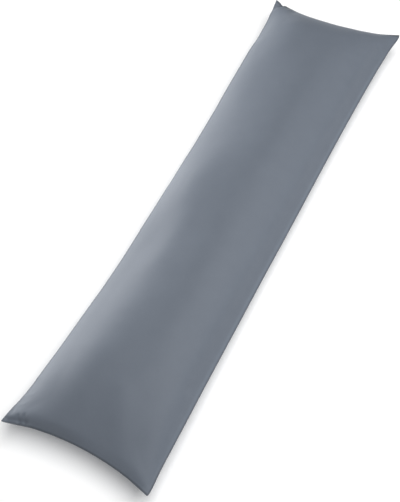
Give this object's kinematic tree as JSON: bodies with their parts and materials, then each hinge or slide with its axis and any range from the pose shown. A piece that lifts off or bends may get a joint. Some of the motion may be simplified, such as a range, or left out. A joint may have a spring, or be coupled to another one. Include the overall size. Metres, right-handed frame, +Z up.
{
  "type": "body pillow",
  "caption": "Long slim filled pillow of smooth cloth with a crowned top, drawn-in sides and pointed corners, for hugging and for resting between the knees.",
  "frame": {"origin": "on the floor, under the middle of the pillow as it lies on its back", "axes": "+X across the pillow, +Y along it from the near end to the far end, +Z up out of its face"},
  "size_m": [0.472, 1.8, 0.1677],
  "materials": {
    "cover_cloth": "smooth brushed cloth with a soft sheen, slate grey"
  },
  "bodies": {
    "root": {"pillow": "cover_cloth"}
  },
  "joints": []
}
